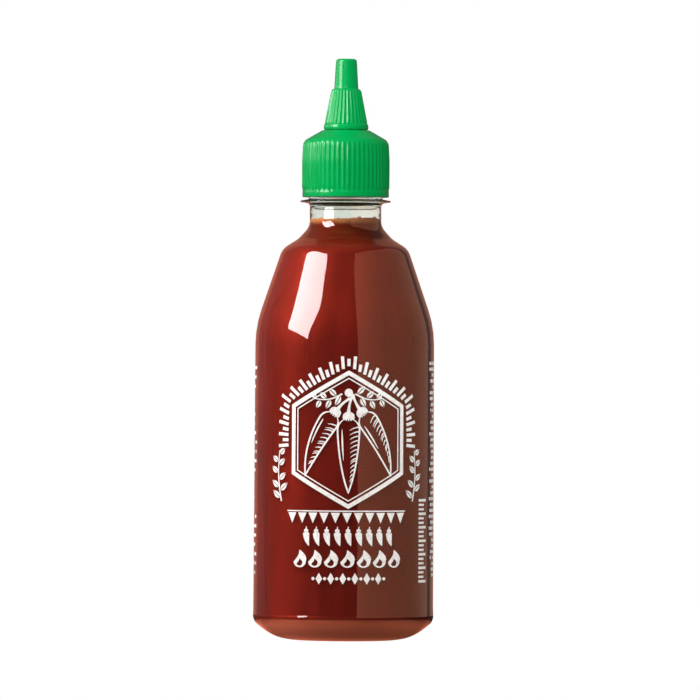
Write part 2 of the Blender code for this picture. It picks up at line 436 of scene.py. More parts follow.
def turned(name, points, steps, closed=False):
    # The outline swept round Z. Points on the axis become one vertex each.
    bm = bmesh.new()
    rings = []
    for r, z in points:
        if r < 1e-6:
            rings.append([bm.verts.new((0.0, 0.0, z * mm))] * steps)
            continue
        ring = []
        for k in range(steps):
            a = 2 * math.pi * k / steps
            ring.append(bm.verts.new((r * math.cos(a) * mm, r * math.sin(a) * mm, z * mm)))
        rings.append(ring)
    pairs = list(zip(rings, rings[1:]))
    if closed:
        pairs.append((rings[-1], rings[0]))
    for low, high in pairs:
        for k in range(steps):
            j = (k + 1) % steps
            corners = []
            for vert in (low[k], low[j], high[j], high[k]):
                if vert not in corners:
                    corners.append(vert)
            if len(corners) > 2:
                bm.faces.new(corners)
    bmesh.ops.recalc_face_normals(bm, faces=bm.faces)
    return meshFrom(name, bm)


def smoothed(piece, sharpFrom=40.0):
    piece.data.shade_smooth()
    piece.data.set_sharp_from_angle(angle=math.radians(sharpFrom))
    return piece


# Geometry node trees.


def startTree(name, **inputs):
    # Inputs are given by kind, such as Float=("Depth", "Foot").
    tree = bpy.data.node_groups.new(name, "GeometryNodeTree")
    tree.interface.new_socket("Geometry", in_out="OUTPUT", socket_type="NodeSocketGeometry")
    inputs = {"Geometry": ("Geometry",), **inputs, "Material": ("Material",)}
    for kind, labels in inputs.items():
        for label in labels:
            tree.interface.new_socket(label, in_out="INPUT", socket_type="NodeSocket" + kind)
    return tree, addNode(tree, "NodeGroupInput").outputs


def endTree(tree, given, geometry):
    whole = addNode(tree, "GeometryNodeRealizeInstances", {"Geometry": geometry})
    values = {"Geometry": whole.outputs[0], "Material": given["Material"]}
    painted = addNode(tree, "GeometryNodeSetMaterial", values)
    addNode(tree, "NodeGroupOutput", {"Geometry": painted.outputs[0]})
    return tree


def grown(name, mesh, tree, values):
    # The mesh put through a tree with these inputs, as a new plain mesh.
    source = addPiece(name + "Source", mesh)
    modifier = source.modifiers.new(tree.name, "NODES")
    modifier.node_group = tree
    for item in tree.interface.items_tree:
        if item.item_type == "SOCKET" and item.in_out == "INPUT" and item.name in values:
            modifier[item.identifier] = values[item.name]
    graph = bpy.context.evaluated_depsgraph_get()
    result = bpy.data.meshes.new_from_object(source.evaluated_get(graph))
    result.name = name
    source.modifiers.remove(modifier)
    bpy.data.objects.remove(source)
    return result


def shifted(tree, geometry, **place):
    # The points moved by an Offset, or to a Position.
    values = {"Geometry": geometry, **place}
    return addNode(tree, "GeometryNodeSetPosition", values).outputs[0]


def pointLine(tree, count, start=(0.0, 0.0, 0.0), step=(0.0, 0.0, 0.0)):
    values = {"Count": count, "Start Location": start, "Offset": step}
    return addNode(tree, "GeometryNodeMeshLine", values).outputs[0]


def copiesOn(tree, points, motif, **how):
    values = {"Points": points, "Instance": motif, **how}
    return addNode(tree, "GeometryNodeInstanceOnPoints", values).outputs[0]


def randomFloat(tree, low, high, seed):
    values = {"Min": low, "Max": high, "Seed": seed}
    chance = addNode(tree, "FunctionNodeRandomValue", values, data_type="FLOAT")
    return findSocket(chance.outputs, "Value")


def makeRibTree():
    # Upright ribs that rise out of a turned wall and fade at their ends.
    floats = ("Depth", "Crispness", "Foot", "Foot Fade", "Head", "Head Fade", "Inner Radius")
    tree, given = startTree("ribs", Int=("Ribs",), Float=floats)
    x, y, z = splitXYZ(tree, addNode(tree, "GeometryNodeInputPosition").outputs[0])
    turns = product(tree, calc(tree, "ARCTAN2", y, x), given["Ribs"])
    wave = calc(tree, "MULTIPLY_ADD", calc(tree, "COSINE", turns), 0.5, 0.5)
    crest = calc(tree, "POWER", wave, given["Crispness"])
    footEnd = calc(tree, "ADD", given["Foot"], given["Foot Fade"])
    headStart = calc(tree, "SUBTRACT", given["Head"], given["Head Fade"])
    low = ramp(tree, z, given["Foot"], footEnd)
    high = ramp(tree, z, headStart, given["Head"], 1.0, 0.0)
    outside = calc(tree, "GREATER_THAN", fromAxis(tree, x, y), given["Inner Radius"])
    rise = product(tree, crest, product(tree, low, high, outside), given["Depth"])
    outward = vectorCalc(tree, "NORMALIZE", {0: joinXYZ(tree, X=x, Y=y)})
    step = vectorCalc(tree, "SCALE", {0: outward, "Scale": rise})
    return endTree(tree, given, shifted(tree, given["Geometry"], Offset=step))


def makeWrapTree():
    # Flat artwork (x round the bottle, y up) given thickness and laid on the wall.
    floats = ("Low Height", "High Height", "Low Radius", "High Radius", "Proud", "Sunk")
    tree, given = startTree("wrapOnWall", Float=floats)
    down = joinXYZ(tree, Z=product(tree, given["Sunk"], -1.0))
    under = shifted(tree, given["Geometry"], Offset=down)
    thick = calc(tree, "ADD", given["Proud"], given["Sunk"])
    up = (0.0, 0.0, 1.0)
    values = {"Mesh": under, "Offset": up, "Offset Scale": thick, "Individual": False}
    raised = addNode(tree, "GeometryNodeExtrudeMesh", values, mode="FACES")
    back = addNode(tree, "GeometryNodeFlipFaces", {"Mesh": under})
    both = addNode(tree, "GeometryNodeJoinGeometry")
    for half in (raised, back):
        tree.links.new(half.outputs[0], both.inputs[0])
    values = {"Geometry": both.outputs[0], "Distance": 1e-6}
    solid = addNode(tree, "GeometryNodeMergeByDistance", values).outputs[0]
    position = addNode(tree, "GeometryNodeInputPosition").outputs[0]
    along, height, out = splitXYZ(tree, position)
    wall = ramp(tree, height, *(given[label] for label in floats[:4]), smooth=False)
    angle = calc(tree, "DIVIDE", along, wall)
    radius = calc(tree, "ADD", wall, out)
    onWall = joinXYZ(
        tree,
        X=product(tree, radius, calc(tree, "SINE", angle)),
        Y=product(tree, radius, product(tree, calc(tree, "COSINE", angle), -1.0)),
        Z=height,
    )
    return endTree(tree, given, shifted(tree, solid, Position=onWall))


def makeRowTree():
    # Copies of a motif in a straight row. Every Nth one is scaled differently.
    vectors = ("Start", "Step", "Nth Scale")
    tree, given = startTree("rowOfCopies", Int=("Copies", "Nth"), Vector=vectors)
    points = pointLine(tree, given["Copies"], given["Start"], given["Step"])
    index = addNode(tree, "GeometryNodeInputIndex").outputs[0]
    isNth = calc(tree, "LESS_THAN", calc(tree, "MODULO", index, given["Nth"]), 0.5)
    values = {"Factor": isNth, "A": (1.0, 1.0, 1.0), "B": given["Nth Scale"]}
    size = addNode(tree, "ShaderNodeMix", values, data_type="VECTOR")
    scale = findSocket(size.outputs, "Result")
    return endTree(tree, given, copiesOn(tree, points, given["Geometry"], Scale=scale))


def makeRayTree():
    # Dashes that point away from a centre, at one distance from the sides of a polygon.
    floats = ("First Angle", "Angle Step", "Sides", "Apothem", "Clearance", "Short Length")
    tree, given = startTree("raysAround", Int=("Copies",), Vector=("Centre",), Float=floats)
    index = addNode(tree, "GeometryNodeInputIndex").outputs[0]
    angle = calc(tree, "MULTIPLY_ADD", index, given["Angle Step"], given["First Angle"])
    wedge = calc(tree, "DIVIDE", 2 * math.pi, given["Sides"])
    halfWedge = product(tree, wedge, 0.5)
    fromCorner = calc(tree, "FLOORED_MODULO", calc(tree, "ADD", angle, halfWedge), wedge)
    folded = calc(tree, "SUBTRACT", fromCorner, halfWedge)
    toSide = calc(tree, "DIVIDE", given["Apothem"], calc(tree, "COSINE", folded))
    reach = calc(tree, "ADD", toSide, given["Clearance"])
    x = product(tree, reach, calc(tree, "COSINE", angle))
    y = product(tree, reach, calc(tree, "SINE", angle))
    spot = vectorCalc(tree, "ADD", {0: joinXYZ(tree, X=x, Y=y), 1: given["Centre"]})
    odd = calc(tree, "MODULO", index, 2.0)
    length = ramp(tree, odd, 0.0, 1.0, 1.0, given["Short Length"], smooth=False)
    rays = copiesOn(
        tree,
        shifted(tree, pointLine(tree, given["Copies"]), Position=spot),
        given["Geometry"],
        Rotation=joinXYZ(tree, Z=angle),
        Scale=joinXYZ(tree, X=length, Y=1.0, Z=1.0),
    )
    return endTree(tree, given, rays)


def makeBlockRowsTree():
    # Rows of small blocks of uneven width, with wider gaps among them, like fine print.
    floats = ("Row Length", "Rows", "Row Pitch", "Height", "Narrowest", "Widest")
    tree, given = startTree(
        "fineRows",
        Int=("Blocks", "Seed"),
        Vector=("Corner",),
        Float=(*floats, "Gap", "Gap Share"),
    )
    width = randomFloat(tree, given["Narrowest"], given["Widest"], given["Seed"])
    values = {"Value": calc(tree, "ADD", width, given["Gap"])}
    run = addNode(tree, "GeometryNodeAccumulateField", values, data_type="FLOAT")
    start = findSocket(run.outputs, "Trailing")
    row = calc(tree, "FLOOR", calc(tree, "DIVIDE", start, given["Row Length"]))
    x = calc(tree, "SUBTRACT", start, product(tree, row, given["Row Length"]))
    y = product(tree, row, given["Row Pitch"], -1.0)
    fits = calc(tree, "LESS_THAN", calc(tree, "ADD", x, width), given["Row Length"])
    inPanel = calc(tree, "LESS_THAN", row, given["Rows"])
    chance = randomFloat(tree, 0.0, 1.0, calc(tree, "ADD", given["Seed"], 7))
    kept = calc(tree, "GREATER_THAN", chance, given["Gap Share"])
    spot = vectorCalc(tree, "ADD", {0: joinXYZ(tree, X=x, Y=y), 1: given["Corner"]})
    blocks = copiesOn(
        tree,
        shifted(tree, pointLine(tree, given["Blocks"]), Position=spot),
        given["Geometry"],
        Selection=product(tree, fits, kept, inPanel),
        Scale=joinXYZ(tree, X=width, Y=given["Height"], Z=1.0),
    )
    return endTree(tree, given, blocks)


ribTree = makeRibTree()
wrapTree = makeWrapTree()
rowTree = makeRowTree()
rayTree = makeRayTree()
blockRowsTree = makeBlockRowsTree()
print("node trees built")


bottle = {
    "steps": 192,
    "wall": 0.8,
    "pushUp": (8.8, 4.5),
    "gateMark": (1.5, 0.7),  # the moulding's mark in the base
    "ringInner": 14.3,
    "ringOuter": 19.0,
    "belly": (25.5, 0.84),
    "heelCorner": 6.85,
    "bodyLow": 33.09,
    "bodyHigh": 32.75,
    "bead": 0.12,  # a slight bulge just above the heel
    "beadAt": 9.05,
    "beadRise": 0.6,
    "coneBase": 114.6,
    "coneTop": (23.05, 143.1),
    "flareBend": (17.2, 146.75),
    "flareTop": 151.3,
    "neck": 13.1,
    "bore": 10.9,
    "partingLine": 156.2,
    "boreFrom": 159.6,  # the wall thickens up to here
    "neckSlack": 0.7,
    "ringAt": 160.5,
    "ringRadius": 16.58,
    "ringEdge": 0.5,
    "ringRoot": 1.7,
    "collar": 13.5,
    "collarTop": 164.0,
    "land": 180.2,
}


def wallCorners():
    b = bottle
    return [
        (0.0, b["pushUp"][1], 0.0),
        (b["pushUp"][0], b["pushUp"][1], 6.0),
        (b["ringInner"], 0.0, 0.8),
        (b["ringOuter"], 0.0, 1.5),
        (*b["belly"], 17.0),
        (b["bodyLow"], b["heelCorner"], 4.4),
        (b["bodyLow"], b["beadAt"], 0.3),
        (b["bodyLow"] - b["bead"], b["beadAt"] + b["beadRise"], 0.5),
        (b["bodyHigh"], b["coneBase"], 40.0),
        (*b["coneTop"], 6.4),
        (*b["flareBend"], 8.0),
        (b["neck"], b["flareTop"], 5.5),
    ]


def innerCorners(distance):
    # The wall is thin up to the flare and thickens in the neck, below the support ring.
    corners = movedIn(wallCorners(), distance)
    bore = bottle["bore"] - (distance - bottle["wall"])
    corners[-1] = (bottle["neck"] - distance, bottle["flareTop"] + 0.1, 5.5)
    thick = bore + bottle["neckSlack"]
    return corners + [(thick, bottle["boreFrom"], 3.0), (bore, bottle["boreFrom"] + 1.3, 1.0)]


def makeBottle():
    b = bottle
    markRadius, markDepth = b["gateMark"]
    base = b["pushUp"][1]
    nub = [
        (0.0, base - markDepth, 0.0),
        (markRadius - 0.4, base - markDepth, 0.25),
        (markRadius, base, 0.3),
    ]
    low, high = b["ringAt"] - b["ringRoot"] / 2, b["ringAt"] + b["ringRoot"] / 2
    finish = [
        (b["neck"], b["partingLine"] - 0.3, 0.0),
        (b["neck"] + 0.02, b["partingLine"], 0.0),
        (b["neck"], b["partingLine"] + 0.3, 0.0),
        (b["neck"], low, 1.3),
        (b["ringRadius"], b["ringAt"] - b["ringEdge"] / 2, 0.12),
        (b["ringRadius"], b["ringAt"] + b["ringEdge"] / 2, 0.12),
        (b["collar"], high, 0.35),
        (b["collar"], b["collarTop"], 0.3),
        (b["neck"] - 0.1, b["collarTop"] + 0.5, 0.2),
        (b["neck"] - 0.1, b["land"], 0.5),
        (b["bore"], b["land"], 0.4),
    ]
    outside = roundedLine(nub + wallCorners()[1:] + finish)
    inside = roundedLine(innerCorners(b["wall"]) + [(b["bore"], b["land"] - 0.01, 0.0)])
    points = withRows(outside + inside[-2::-1], 9.0)
    mesh = turned("clearBottle", points, b["steps"])
    piece = smoothed(addPiece("clearBottle", mesh, petMaterial))
    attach(piece, "root")
    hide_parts("bottle")
    return piece


makeBottle()
print("bottle made")


sauce = {
    "steps": 480,
    "intoWall": 0.15,
    "level": 153.7,
    "climb": 0.75,  # how far the edge is drawn up the wall
    "climbWidth": 2.4,
    "highSide": 50.0,  # degrees round from the front, where the edge stands higher
    "highSpread": 34.0,
    "highRise": 0.55,
    "mostRise": 0.75,
    "ripple": 0.16,
    "ripples": (2, 3, 5, 8, 13),  # waves in one turn
    "dishRings": 6,
    "streaks": 1.5,  # height of the fine streaks that cling to the wall above the level
    "seed": 4,
}


def makeSauce():
    s = sauce
    wall = innerCorners(bottle["wall"] - s["intoWall"])
    thick, low = wall[-2], wall[-3]
    wall.pop()
    share = (s["level"] - low[1]) / (thick[1] - low[1])
    edge = low[0] + (thick[0] - low[0]) * share
    wall[-1] = (edge, s["level"], 0.0)
    lean = (thick[0] - low[0]) / (thick[1] - low[1])  # of the wall at the level
    points = withRows(roundedLine(wall), 6.0)
    for k in range(1, s["dishRings"] + 1):
        t = k / s["dishRings"]
        points.append((edge - s["climbWidth"] * t, s["level"] - s["climb"] * (1 - (1 - t) ** 2)))
    points.append((0.0, s["level"] - s["climb"]))
    mesh = turned("sauceFill", points, s["steps"])
    random.seed(s["seed"])
    waves = [(k, random.uniform(0, 2 * math.pi), s["ripple"] / k) for k in s["ripples"]]
    streaks = [random.random() for k in range(s["steps"])]
    wide, narrow = (random.uniform(0, 2 * math.pi) for k in range(2))
    for vertex in mesh.vertices:
        x, y, z = (c / mm for c in vertex.co)
        radius = math.hypot(x, y)
        share = max(0.0, min(1.0, (z - s["level"] + 2.0) / 2.0)) * (radius / edge) ** 6
        if share == 0.0:
            continue
        around = math.atan2(x, -y)
        swell = math.exp(-(((math.degrees(around) - s["highSide"]) / s["highSpread"]) ** 2))
        rise = s["highRise"] * swell + sum(a * math.sin(k * around + p) for k, p, a in waves)
        rise = min(rise, s["mostRise"]) * share
        if radius > edge - 0.05 and abs(z - s["level"]) < 0.01:
            k = round(around / (2 * math.pi) * s["steps"]) % s["steps"]
            near = 0.5 * streaks[k] + 0.25 * (streaks[k - 1] + streaks[(k + 1) % s["steps"]])
            patch = 0.5 + 0.5 * math.sin(3 * around + wide) * math.sin(7 * around + narrow)
            rise += s["streaks"] * (0.25 + 0.75 * patch) * near**1.6
            vertex.co.x *= 1 + lean * rise / radius
            vertex.co.y *= 1 + lean * rise / radius
        vertex.co.z += rise * mm
    piece = smoothed(addPiece("sauceFill", mesh, sauceMaterial))
    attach(piece, "root")
    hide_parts("sauce")
    return piece


makeSauce()
print("sauce made")


def ribbed(name, part, points, material, closed=False):
    steps = part["ribs"] * part["stepsPerRib"]
    mesh = turned(name, withRows(points, part["rowStep"]), steps, closed)
    values = {
        "Ribs": part["ribs"],
        "Depth": part["ribDepth"] * mm,
        "Crispness": part["crispness"],
        "Foot": part["ribsFrom"] * mm,
        "Foot Fade": part["footFade"] * mm,
        "Head": part["ribsTo"] * mm,
        "Head Fade": part["headFade"] * mm,
        "Inner Radius": part["ribsOutside"] * mm,
        "Material": material,
    }
    return smoothed(addPiece(name, grown(name, mesh, ribTree, values)), 50.0)


closure = {
    "ribs": 54,
    "stepsPerRib": 10,
    "rowStep": 1.1,
    "ribDepth": 0.34,
    "crispness": 1.25,
    "ribsFrom": 163.9,
    "footFade": 1.8,
    "ribsTo": 182.6,
    "headFade": 1.5,
    "ribsOutside": 14.8,
    "foot": 162.02,
    "band": 163.7,  # top of the plain band
    "lip": 15.86,
    "waist": 15.67,
    "belly": (15.70, 170.6),
    "bulge": (15.70, 175.4),
    "shoulder": (15.34, 182.75),
    "deck": (8.6, 186.6),
    "spigot": 5.5,
    "spigotTop": (3.6, 199.0),
    "stem": (2.2, 208.9),
    "stemFoot": 200.4,
    "pin": (1.3, 211.9),  # shuts the tip
    "pinFoot": 209.8,
    "bore": 14.0,
    "cavityTop": 180.9,
}


def makeClosure():
    c = closure
    outside = [
        (0.0, c["pin"][1], 0.0),
        (*c["pin"], 0.3),
        (c["pin"][0], c["pinFoot"], 0.0),
        (*c["stem"], 0.0),
        (c["stem"][0], c["stemFoot"], 0.0),
        (*c["spigotTop"], 0.0),
        (c["spigot"], c["deck"][1], 0.2),
        (*c["deck"], 1.2),
        (*c["shoulder"], 2.1),
        (*c["bulge"], 30.0),
        (*c["belly"], 50.0),
        (c["waist"], c["band"] + 1.0, 1.2),
        (c["lip"], c["band"], 0.5),
        (c["lip"], c["foot"], 0.35),
        (c["bore"], c["foot"], 0.2),
        (c["bore"], c["cavityTop"], 1.0),
        (0.0, c["cavityTop"], 0.0),
    ]
    piece = ribbed("closureRibbed", c, roundedLine(outside), closureMaterial)
    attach(piece, "root")
    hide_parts("closure")
    return piece


makeClosure()
print("closure made")


twistTip = {
    "ribs": 30,
    "stepsPerRib": 12,
    "rowStep": 0.8,
    "ribDepth": 0.34,
    "crispness": 1.1,
    "ribsFrom": 188.6,
    "footFade": 0.7,
    "ribsTo": 201.75,
    "headFade": 0.9,
    "ribsOutside": 4.75,
    "foot": 186.75,
    "flange": 8.2,
    "flangeTop": 188.9,
    "coneLow": 7.5,
    "coneHigh": (5.1, 201.5),
    "spoutLow": 4.42,
    "spoutHigh": 3.78,
    "top": 212.78,
    "mouth": 5.8,
    "inside": ((1.6, 210.2), (2.5, 209.3), (2.5, 201.0), (3.9, 199.3)),
}


def makeTwistTip():
    t = twistTip
    corners = [
        (t["mouth"], t["foot"], 0.0),
        (t["flange"] - 0.1, t["foot"], 0.3),
        (t["flange"], t["foot"] + 0.9, 0.3),
        (t["flange"] - 0.1, t["flangeTop"] - 0.3, 0.4),
        (t["coneLow"], t["flangeTop"] + 0.1, 0.3),
        (*t["coneHigh"], 0.35),
        (t["spoutLow"], t["coneHigh"][1] + 0.35, 0.2),
        (t["spoutHigh"], t["top"], 1.05),
        (t["inside"][0][0], t["top"], 0.25),
        *((r, z, 0.0) for r, z in t["inside"]),
    ]
    piece = ribbed("twistTipRibbed", t, roundedLine(corners), tipMaterial, closed=True)
    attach(piece, "root")
    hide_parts("twist_tip")
    return piece


makeTwistTip()
print("twist tip made")


# Print on the wall. The artwork is drawn flat (x round the bottle, y up), then wrapped.


def flatVert(bm, point):
    return bm.verts.new((point[0] * mm, point[1] * mm, 0.0))


def addFace(bm, verts):
    face = bm.faces.new(verts)
    face.normal_update()
    if face.normal.z < 0:
        face.normal_flip()


def addStrip(bm, left, right):
    a = [flatVert(bm, p) for p in left]
    b = [flatVert(bm, p) for p in right]
    for i in range(len(a) - 1):
        addFace(bm, (a[i], b[i], b[i + 1], a[i + 1]))


def addRibbon(bm, line, widths):
    # A line with a width at each point. Its ends are square.
    left, right = [], []
    for i, (x, y) in enumerate(line):
        before, after = line[max(i - 1, 0)], line[min(i + 1, len(line) - 1)]
        dx, dy = after[0] - before[0], after[1] - before[1]
        length = math.hypot(dx, dy)
        half = (widths[i] if isinstance(widths, list) else widths) / 2
        left.append((x - dy / length * half, y + dx / length * half))
        right.append((x + dy / length * half, y - dx / length * half))
    addStrip(bm, left, right)


def addShape(bm, outline, centre, rings=3):
    # A filled shape, made of rings that shrink to its centre.
    rows = []
    for k in range(rings):
        t = 1 - k / rings
        rows.append(
            [
                flatVert(bm, (centre[0] + (x - centre[0]) * t, centre[1] + (y - centre[1]) * t))
                for x, y in outline
            ]
        )
    middle = flatVert(bm, centre)
    count = len(outline)
    for outer, inner in zip(rows, rows[1:]):
        for i in range(count):
            j = (i + 1) % count
            addFace(bm, (outer[i], outer[j], inner[j], inner[i]))
    for i in range(count):
        addFace(bm, (rows[-1][i], rows[-1][(i + 1) % count], middle))


def placedAt(points, angle, spot):
    turn = math.radians(angle)
    c, s = math.cos(turn), math.sin(turn)
    return [(spot[0] + x * c - y * s, spot[1] + x * s + y * c) for x, y in points]


def polygonBand(bm, sides, apothem, width, centre, perSide=22):
    outer, inner = [], []
    for k in range(sides * perSide + 1):
        side, t = divmod(k, perSide)
        for reach, line in ((apothem + width / 2, outer), (apothem - width / 2, inner)):
            corner = reach / math.cos(math.pi / sides)
            a = math.pi / 2 + 2 * math.pi * side / sides
            b = a + 2 * math.pi / sides
            share = t / perSide
            line.append(
                (
                    centre[0] + corner * (math.cos(a) * (1 - share) + math.cos(b) * share),
                    centre[1] + corner * (math.sin(a) * (1 - share) + math.sin(b) * share),
                )
            )
    addStrip(bm, outer, inner)


def podHalfWidth(t, width):
    shoulder = math.sqrt(max(0.0, 1 - (1 - min(t / 0.16, 1.0)) ** 2))
    return width / 2 * shoulder * (1 - t**2.1) ** 0.85


def podLine(length, bend, count):
    # The middle of a pod that hangs down from (0, 0) and curls towards its tip.
    return [
        (bend * length * (k / count) ** 2.2, -length * k / count) for k in range(count + 1)
    ]


def podSide(line, width, inset, side):
    points = []
    for i, (x, y) in enumerate(line):
        before, after = line[max(i - 1, 0)], line[min(i + 1, len(line) - 1)]
        dx, dy = after[0] - before[0], after[1] - before[1]
        length = math.hypot(dx, dy)
        half = max(podHalfWidth(i / (len(line) - 1), width) - inset, 0.0) * side
        points.append((x - dy / length * half, y + dx / length * half))
    return points


def addPod(bm, spot, angle, length, width, bend, line=0.0, hatches=0):
    # With no line width the pod is filled.
    middle = podLine(length, bend, max(12, round(length / 0.8)))
    for side in (-1, 1):
        outer = podSide(middle, width, 0.0, side)
        inner = podSide(middle, width, line or width, side)
        addStrip(bm, placedAt(outer, angle, spot), placedAt(inner, angle, spot))
    if not line:
        return
    count = len(middle) - 1
    for k in range(hatches):
        # Curved shading lines from one edge, longest at the belly.
        t = 0.13 + 0.66 * k / max(hatches - 1, 1)
        half = podHalfWidth(t, width) - line
        x, y = middle[round(t * count)]
        reach = half * (0.95 - 0.45 * t)
        shares = (0, 0.25, 0.5, 0.75, 1)
        stroke = [(x + half - 0.05 - reach * s, y - 0.9 * s * s - 0.35 * s) for s in shares]
        addRibbon(bm, placedAt(stroke, angle, spot), [0.44, 0.42, 0.36, 0.28, 0.12])
    glint = []
    for t in (0.16, 0.24, 0.32, 0.40, 0.48, 0.56):
        x, y = middle[round(t * count)]
        glint.append((x - podHalfWidth(t, width) * 0.55, y))
    addRibbon(bm, placedAt(glint, angle, spot), [0.15, 0.5, 0.6, 0.55, 0.4, 0.12])


def addCalyx(bm, spot, angle, width, stem):
    # The leafy cap of a pod, and its stem.
    lobes = 5
    cap = []
    for k in range(lobes * 6 + 1):
        t = k / (lobes * 6)
        x = (t - 0.5) * width
        dip = abs(math.sin(math.pi * lobes * t))
        cap.append((x, -0.12 * width - 0.26 * width * dip * (1 - (2 * t - 1) ** 2 * 0.5)))
    top = [
        (width * 0.5 * math.cos(a), width * 0.42 * math.sin(a))
        for a in (math.pi * k / 10 for k in range(1, 10))
    ]
    addShape(bm, placedAt(cap + top, angle, spot), placedAt([(0, 0.02 * width)], angle, spot)[0])
    bow = [(stem * 0.22 * s * s, width * 0.38 + stem * s) for s in (0, 0.2, 0.4, 0.6, 0.8, 1.0)]
    widths = [width * f for f in (0.3, 0.24, 0.2, 0.19, 0.2, 0.27)]
    addRibbon(bm, placedAt(bow, angle, spot), widths)


def addLeaf(bm, spot, angle, length, width):
    # Two halves with a fine gap between them for the vein.
    count = 10
    for side in (-1, 1):
        outer, inner = [], []
        for k in range(count + 1):
            half = width / 2 * math.sin(math.pi * (k / count) ** 0.8)
            outer.append((side * half, length * k / count))
            inner.append((side * min(abs(half), 0.16), length * k / count))
        addStrip(bm, placedAt(outer, angle, spot), placedAt(inner, angle, spot))


def addSprig(bm, spot, angle, length, leaves, leafLength, leafWidth, bow):
    steps = 14
    stem, widths = [], []
    for k in range(steps + 1):
        stem.append((bow * math.sin(math.pi * k / steps), length * k / steps))
        widths.append(0.6 - 0.3 * k / steps)
    addRibbon(bm, placedAt(stem, angle, spot), widths)
    for k in range(leaves):
        x, y = stem[round(1 + (steps - 2) * k / max(leaves - 1, 1))]
        side = 1 if k % 2 else -1
        foot = placedAt([(x + side * 0.45, y)], angle, spot)[0]
        addLeaf(bm, foot, angle - side * 52, leafLength * (1 - 0.35 * k / leaves), leafWidth)


def flatMesh(name, bm):
    bmesh.ops.remove_doubles(bm, verts=bm.verts, dist=1e-6)
    bmesh.ops.dissolve_degenerate(bm, dist=1e-7, edges=bm.edges)
    return meshFrom(name, bm)


def joinedFlat(name, parts):
    bm = bmesh.new()
    for part in parts:
        bm.from_mesh(part)
        bpy.data.meshes.remove(part)
    return meshFrom(name, bm)


printWall = {
    "Low Radius": (bottle["bodyLow"] - bottle["bead"]) * mm,
    "High Radius": bottle["bodyHigh"] * mm,
    "Low Height": (bottle["beadAt"] + bottle["beadRise"]) * mm,
    "High Height": bottle["coneBase"] * mm,
    "Proud": 0.05 * mm,
    "Sunk": 0.03 * mm,
    "Material": inkMaterial,
}


def layOnWall(name, parts):
    piece = addPiece(name, grown(name, joinedFlat(name + "Flat", parts), wrapTree, printWall))
    smoothed(piece, 35.0)
    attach(piece, "root")
    return piece


def rowOf(name, motif, copies, start, step, nth=1000, nthScale=(1.0, 1.0, 1.0)):
    values = {
        "Copies": copies,
        "Start": tuple(c * mm for c in (*start, 0.0)),
        "Step": tuple(c * mm for c in (*step, 0.0)),
        "Nth": nth,
        "Nth Scale": nthScale,
        "Material": inkMaterial,
    }
    return grown(name, motif, rowTree, values)


def dashMotif(width, height, columns=2, leftAligned=False):
    bm = bmesh.new()
    start = 0.0 if leftAligned else -width / 2
    line = [start + width * k / columns for k in range(columns + 1)]
    addStrip(bm, [(x, height / 2) for x in line], [(x, -height / 2) for x in line])
    return flatMesh("dash", bm)


def shapeMotif(outline, centre=(0.0, 0.0), rings=2):
    bm = bmesh.new()
    addShape(bm, outline, centre, rings)
    return flatMesh("shape", bm)


def roundOutline(radius, count=16):
    return [
        (radius * math.cos(2 * math.pi * k / count), radius * math.sin(2 * math.pi * k / count))
        for k in range(count)
    ]


emblem = {
    "centre": (1.6, 73.6),
    "sides": 6,
    "apothem": 21.0,
    "boldLine": 1.5,
    "thinLine": 0.4,
    "thinInset": 1.75,
    "podLength": 25.0,
    "podWidth": 8.0,
    "podSpread": 37.0,
    "podBend": 0.20,
    "podLine": 0.62,
    "hatches": 13,
    "podsFrom": 16.4,  # above the centre
    "podDrop": 8.6,
    "middlePod": 1.1,  # its size beside the others
    "calyxWidth": 4.4,
    "stem": 5.6,
    "knot": 1.5,
    "knotAt": 17.0,
    # Across, up, lean, length, leaves, leaf length, leaf width, bow.
    "sprigs": (
        (2.4, 16.6, -99, 10.5, 6, 4.0, 1.9, 1.2),
        (26.6, -22.5, -3, 18.5, 8, 4.4, 2.1, 1.0),
    ),
    "rays": 43,
    "rayArc": 190.0,
    "rayStart": 2.4,
    "rayLong": 4.6,
    "rayShort": 0.58,
    "rayWidth": 1.15,
}


def makeEmblem():
    e = emblem
    cx, cy = e["centre"]
    bm = bmesh.new()
    polygonBand(bm, e["sides"], e["apothem"], e["boldLine"], e["centre"])
    polygonBand(bm, e["sides"], e["apothem"] - e["thinInset"], e["thinLine"], e["centre"])
    for side in (-1, 0, 1):
        turn = side * e["podSpread"]
        spot = placedAt([(0.0, -e["podDrop"])], turn, (cx, cy + e["podsFrom"]))[0]
        size = 1.0 if side else e["middlePod"]
        length, width = e["podLength"] * size, e["podWidth"] * size
        addPod(bm, spot, turn, length, width, -side * e["podBend"], e["podLine"], e["hatches"])
        top = placedAt([(0.0, 0.5)], turn, spot)[0]
        addCalyx(bm, top, turn, e["calyxWidth"], e["stem"])
    knot = (cx, cy + e["knotAt"])
    addShape(bm, placedAt(roundOutline(e["knot"]), 0.0, knot), knot, 2)
    for side in (-1, 1):
        for across, up, lean, length, *leaves, bow in e["sprigs"]:
            addSprig(bm, (cx + side * across, cy + up), side * lean, length, *leaves, side * bow)
    rays = {
        "Copies": e["rays"],
        "Centre": (cx * mm, cy * mm, 0.0),
        "First Angle": math.radians(90 - e["rayArc"] / 2),
        "Angle Step": math.radians(e["rayArc"] / (e["rays"] - 1)),
        "Sides": float(e["sides"]),
        "Apothem": e["apothem"] * mm,
        "Clearance": e["rayStart"] * mm,
        "Short Length": e["rayShort"],
        "Material": inkMaterial,
    }
    dash = dashMotif(e["rayLong"], e["rayWidth"], 3, leftAligned=True)
    return [flatMesh("emblem", bm), grown("rays", dash, rayTree, rays)]


